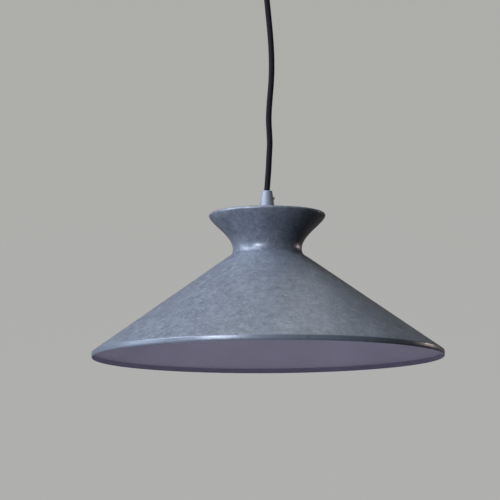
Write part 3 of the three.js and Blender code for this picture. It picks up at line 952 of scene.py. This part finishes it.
def make_cup_screws():
    """The two side screws. Each is made standing along Z, its inner end down."""
    start, end, out = CUP_SCREW_IN, CUP_SCREW_HEAD, CUP_SCREW_OUT
    shank = [(CUP_SCREW_R, z) for z in np.linspace(start, end, 29)]
    bevel = CUP_SCREW_HEAD_R - 0.4
    head = [(CUP_SCREW_HEAD_R, end), (CUP_SCREW_HEAD_R, out - 0.4), (bevel, out), (0, out)]
    outline = metres([(0, start), *shank, *head])
    floor, depth, pitch = CUP_SCREW_R * 0.9 * MM, CUP_SCREW_THREAD * MM, CUP_SCREW_PITCH * MM
    radius_at = thread(floor, depth, pitch, start * MM, (end - 1) * MM)
    for side, label in ((1, "right"), (-1, "left")):
        name = f"cup_clamp_screw_{label}"
        screw = turned(name, outline, [LOOK["nickel"]], 64, sharp=38, radius_at=radius_at)
        carved(screw, [driver_slot(6 * MM, 0.9 * MM, (out - 1.2) * MM, (out + 1.4) * MM)])
        transformed(screw, Matrix.Rotation(side * math.pi / 2, 4, "Y"))
        transformed(screw, Matrix.Translation((0, 0, CUP_SCREW_Z)))
        put(screw, "ceiling", "nickel", f"cup_screw_{label}")


def dress_cad_nodes():
    """CAD nodes whose shape is right stay, with softened edges and a finished material."""
    finishes = {
        "ceiling_bracket": ("steel", 0.35 * MM),
        "terminal_block": ("block", 0.3 * MM),
        "centre_contact": ("brass", 0.08 * MM),
    }
    for node, (look, width) in finishes.items():
        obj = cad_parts[node]
        obj.data.materials.clear()
        obj.data.materials.append(LOOK[look])
        softened(obj, width)


def make_slotted_screw(name, body, radius, height, width, matrix, node):
    """A brass wiring screw that stands on z = 0, with a slot of this width, moved by matrix."""
    outline = [(0, 0), (radius, 0), (radius, height * 0.8), (radius * 0.9, height), (0, height)]
    screw = turned(name, rounded(outline, 0.12 * MM), [LOOK["brass"]], 56, sharp=40)
    carved(screw, [driver_slot(radius * 2, width, height * 0.5, height * 2)])
    transformed(screw, matrix)
    put(screw, body, "brass", node)


def make_terminal_screws():
    """The block's screws point down, each turned a little further round than the last."""
    size = [value * MM for value in TERMINAL_SCREW]
    for name, k in WAYS:
        place = Matrix.Translation((WAY_PITCH * k * MM, 0, (WAY_Z - 2) * MM))
        matrix = place @ Matrix.Rotation(math.pi, 4, "X") @ Matrix.Rotation(0.5 + 0.8 * k, 4, "Z")
        node = f"terminal_screw_{name}"
        make_slotted_screw(f"block_screw_{name}", "ceiling", *size, matrix, node)


def make_holder_screws():
    size = [value * MM for value in HOLDER_SCREW]
    for name, degrees in HOLDER_WAYS:
        a = math.radians(degrees)
        place = (HOLDER_WAY_R * math.cos(a), HOLDER_WAY_R * math.sin(a), HOLDER_SCREW_Z)
        matrix = Matrix.Translation(place)
        node = f"holder_screw_{name}"
        make_slotted_screw(f"core_screw_{name}", "shade", *size, matrix, node)


make_cup()
make_cup_screws()
make_terminal_screws()
make_holder_screws()
dress_cad_nodes()


# ---------- lampholder ----------
def ribbed(floor, count, depth, low, high):
    """Grip ribs between two heights, in what lies further out than floor."""

    def radius_at(angle, r, z):
        if r < floor or not low < z < high:
            return r
        fade = min(1, (z - low) / RIB_FADE, (high - z) / RIB_FADE)
        return r - depth * fade * (0.5 - 0.5 * math.cos(count * angle)) ** 2

    return radius_at


def make_holder_dome():
    """The lampholder's upper shell: a ribbed wall, a shoulder and a neck round the tube."""
    ribs = np.linspace(RIB_LOW + 0.2, RIB_HIGH - 0.3, 12)
    wall = [(HOLDER_R, z) for z in (HOLDER_SPLIT, *ribs)]
    shoulder = [(19.1, 142.8), (18.4, 144.4), (17.0, 146.1), (14.6, 148), (11.6, 149.8)]
    neck = [(9.4, 151.6), (8.5, 153), (HOLDER_NECK_R, 154), (HOLDER_NECK_R, HOLDER_TOP)]
    inside = [(HOLDER_HOLE_R, HOLDER_TOP), (HOLDER_HOLE_R, 151.6), (9.2, 149.2), (15.4, 145)]
    inside += [(HOLDER_BORE_R, INSERT_TOP), (HOLDER_BORE_R, HOLDER_SPLIT)]
    outline = at_rim(wall + shoulder + neck + inside)
    low, high = RIM_Z + RIB_LOW * MM, RIM_Z + RIB_HIGH * MM
    radius_at = ribbed((HOLDER_BORE_R + 0.4) * MM, RIBS, RIB_DEPTH * MM, low, high)
    dome = turned("holder_dome", outline, [LOOK["holder"]], 216, sharp=45, radius_at=radius_at)
    put(dome, "shade", "holder_plastic", "holder_cap")


def make_holder_sleeve():
    """The lampholder's lower shell, with a bead round its mouth and a groove near its top."""
    inside = [(HOLDER_BORE_R, HOLDER_SPLIT - 0.3), (17.2, 106), (HOLDER_BORE_R, HOLDER_MOUTH)]
    bead = [(19.6, HOLDER_MOUTH), (20.2, 105.8), (20.2, 108.6), (19.5, 109.6), (HOLDER_R, 111)]
    groove = [(HOLDER_R, 124), (19.1, 124.3), (19.1, 125.2), (HOLDER_R, 125.5)]
    outline = at_rim([*inside, *bead, *groove, (HOLDER_R, HOLDER_SPLIT - 0.3)])
    sleeve = turned("holder_sleeve", rounded(outline, 0.3 * MM), [LOOK["holder"]], 128, sharp=45)
    put(sleeve, "shade", "holder_plastic", "holder_skirt")


def make_holder_core():
    """The ceramic core, with three notches in its side."""
    side = [(INSERT_R, INSERT_BOTTOM), (INSERT_R, INSERT_TOP)]
    outline = at_rim([(0, INSERT_BOTTOM), *side, (0, INSERT_TOP)])
    core = turned("holder_core", rounded(outline, 0.4 * MM), [LOOK["ceramic"]], 96, sharp=45)
    low, high = INSERT_BOTTOM - 1, INSERT_TOP + 1
    cutters = []
    for degrees in (60, 180, 300):
        notch = turned("notch", at_rim([(0, low), (2.2, low), (2.2, high), (0, high)]), [], 32)
        x, y = math.cos(math.radians(degrees)), math.sin(math.radians(degrees))
        place = Matrix.Translation((INSERT_R * x * MM, INSERT_R * y * MM, 0))
        cutters.append(transformed(notch, place))
    carved(core, cutters)
    put(core, "shade", "core_ceramic", "holder_insert")


def make_screw_shell():
    """The lampholder's rolled brass thread, wide enough to clear the bulb's crests."""
    outside = [(SHELL_R, z) for z in np.linspace(SHELL_LOW, SHELL_HIGH, 111)]
    inside = [(SHELL_BORE_R, z) for _, z in reversed(outside[:-3])]
    floor = SHELL_HIGH - SHELL_T
    top = [(SHELL_HOLE_R, SHELL_HIGH), (SHELL_HOLE_R, floor), (SHELL_BORE_R, floor)]
    low, high = RIM_Z + SHELL_LOW * MM, RIM_Z + (SHELL_HIGH - 2) * MM
    inner, depth = (SHELL_BORE_R - 0.1) * MM, SHELL_THREAD * MM
    radius_at = thread(inner, depth, THREAD_PITCH, low, high, RIM_Z)
    outline = at_rim([*outside, *top, *inside])
    shell = turned("brass_shell", outline, [LOOK["brass"]], 120, sharp=60, radius_at=radius_at)
    put(shell, "shade", "brass", "screw_shell")


make_holder_dome()
make_holder_sleeve()
make_holder_core()
make_screw_shell()


# ---------- bulb ----------
def make_bulb_globe():
    """The opal glass: a neck that widens into a sphere, and the same line inside it."""
    outer = [(12.1, 110.0), (12.1, 104.2), (12.5, 102.8), (14.2, 99.4), (16.3, 95.4), (18.6, 91)]
    outer += [(21.1, 85.6), (23.4, 80), (25.6, 74.8), (27.4, 70.2)]
    outer += arc(BULB_CENTRE, BULB_R, 16, -88, 13)
    outer.append((0, BULB_CENTRE[1] - BULB_R))
    bore_r = BULB_R - BULB_WALL
    inner = [(0, BULB_CENTRE[1] - bore_r), *arc(BULB_CENTRE, bore_r, -80, 16, 12)]
    inner += [(26.5, 70.2), (22.5, 80), (17.7, 91), (13.3, 99.4), (11.2, 104.2), (11.2, 110)]
    globe = turned("bulb_globe", at_rim(outer + inner), [LOOK["opal"]], 160, sharp=60)
    put(globe, "bulb", "opal_glass", "bulb_glass")


def make_bulb_screw():
    heights = np.linspace(BULB_CAP_LOW, BULB_CAP_HIGH, 91)
    crest = [(BULB_CAP_R, z) for z in heights]
    top = [(9.8, 127.2), (9.4, 126.8)]
    root_r = BULB_CAP_R - BULB_CAP_WALL
    root = [(root_r, z) for z in reversed(heights)]
    low, high = RIM_Z + (BULB_CAP_LOW + 1.2) * MM, RIM_Z + BULB_CAP_HIGH * MM
    inner, depth = (root_r - 0.1) * MM, BULB_THREAD * MM
    radius_at = thread(inner, depth, THREAD_PITCH, low, high, RIM_Z)
    outline = at_rim([*crest, *top, *root])
    cap = turned("bulb_screw", outline, [LOOK["nickel"]], 120, sharp=60, radius_at=radius_at)
    put(cap, "bulb", "nickel", "bulb_cap")


def make_bulb_contacts():
    bead = at_rim([(0, 126), (8.8, 126.2), (8.9, 127.3), (7.4, 128.1), (5.2, 129), (0, 129)])
    bead = turned("bulb_bead", rounded(bead, 0.4 * MM), [LOOK["bead"]], 72, sharp=50)
    put(bead, "bulb", "bead_glass", "bulb_insulator")
    tip = at_rim([(0, 129.3), (4.4, 129.3), (4.2, 129.8), (2.4, 130.2), (0, 130.2)])
    tip = turned("bulb_contact", rounded(tip, 0.2 * MM), [LOOK["nickel"]], 48, sharp=50)
    put(tip, "bulb", "nickel", "bulb_tip")


make_bulb_globe()
make_bulb_screw()
make_bulb_contacts()


# ---------- light ----------
AIM = Vector((0, 0, -0.42))  # a point inside the shade
FLOOR_Z = -2.4
FLOOR_HALF = 2.4
FLOOR_FADE = (1.2, 2.3)  # distances from the axis between which the floor fades out


def area(name, place, size, power, color):
    """A rectangular lamp that faces the shade."""
    data = bpy.data.lights.new(name, "AREA")
    data.shape = "RECTANGLE"
    data.size, data.size_y = size
    data.energy = power
    data.color = color
    light = bpy.data.objects.new(name, data)
    light.location = place
    light.rotation_euler = (AIM - Vector(place)).to_track_quat("-Z", "Y").to_euler()
    scene.collection.objects.link(light)


def make_world():
    """The camera sees a plain pale wall. The pendant is lit by the lamps and by a dim glow
    from behind."""
    n = Nodes(bpy.data.worlds.new("room"))
    scene.world = n.owner
    split = n.add("ShaderNodeSeparateXYZ")
    n.link(n.add("ShaderNodeTexCoord").outputs["Generated"], split.inputs[0])
    y, z = split.outputs["Y"], split.outputs["Z"]
    rise = n.grey(z, 0, 1, 0.05, 0.22)
    wall = n.ramp(rise, [(0.0, (0.432, 0.432, 0.426)), (1.0, (0.420, 0.419, 0.402))])
    behind = n.math("POWER", n.math("MAXIMUM", y, 0.0), 2.0)
    band = n.math("MULTIPLY", behind, n.grey(n.math("ABSOLUTE", z), 1, 0, 0.2, 0.8))
    glow = n.ramp(band, [(0.0, (0, 0, 0)), (1.0, (0.156, 0.143, 0.139))])
    seen = n.add("ShaderNodeLightPath").outputs["Is Camera Ray"]
    n.link(n.mix(seen, glow, wall), n.shader.inputs["Color"])


def make_floor():
    """A pale matt floor under the pendant that fades into the backdrop."""
    corners = ((-1, -1), (1, -1), (1, 1), (-1, 1))
    vertices = [(x * FLOOR_HALF, y * FLOOR_HALF, FLOOR_Z) for x, y in corners]
    n = Nodes(bpy.data.materials.new("floor"))
    cloud = n.noise(n.position(), 2, 3)
    n.color(n.ramp(cloud, [(0.3, (0.40, 0.40, 0.40)), (0.7, (0.43, 0.43, 0.43))]))
    n.set(Roughness=0.8, Emission_Color=(0.92, 0.90, 1.0, 1.0), Emission_Strength=0.33)
    _, radius = n.flat(n.position())
    n.link(n.grey(radius, 1, 0, *FLOOR_FADE), n.shader.inputs["Alpha"])
    new_mesh("floor", vertices, [[0, 1, 2, 3]], [n.owner])


make_world()
make_floor()

# each with its place, its size, its power in watts and its colour
area("window", (-1.78, -0.72, 1.38), (2.6, 2.2), 93, (0.82, 0.86, 1.0))
area("side", (-2.5, -0.2, 0.2), (1.5, 1.5), 22, (0.74, 0.84, 1.0))
area("key", (-1.02, -1.73, -0.04), (0.72, 0.22), 26, (0.86, 0.90, 1.0))
area("top", (0, -0.08, 1.98), (2.0, 2.0), 9, (1.0, 0.95, 0.45))
area("lamp", (1.80, 1.21, -0.10), (0.1, 0.1), 4.2, (1.0, 0.82, 0.78))
area("back", (0.3, 1.9, 2.2), (1.2, 1.2), 4, (0.95, 0.96, 1.0))
scene.view_settings.view_transform = "Standard"
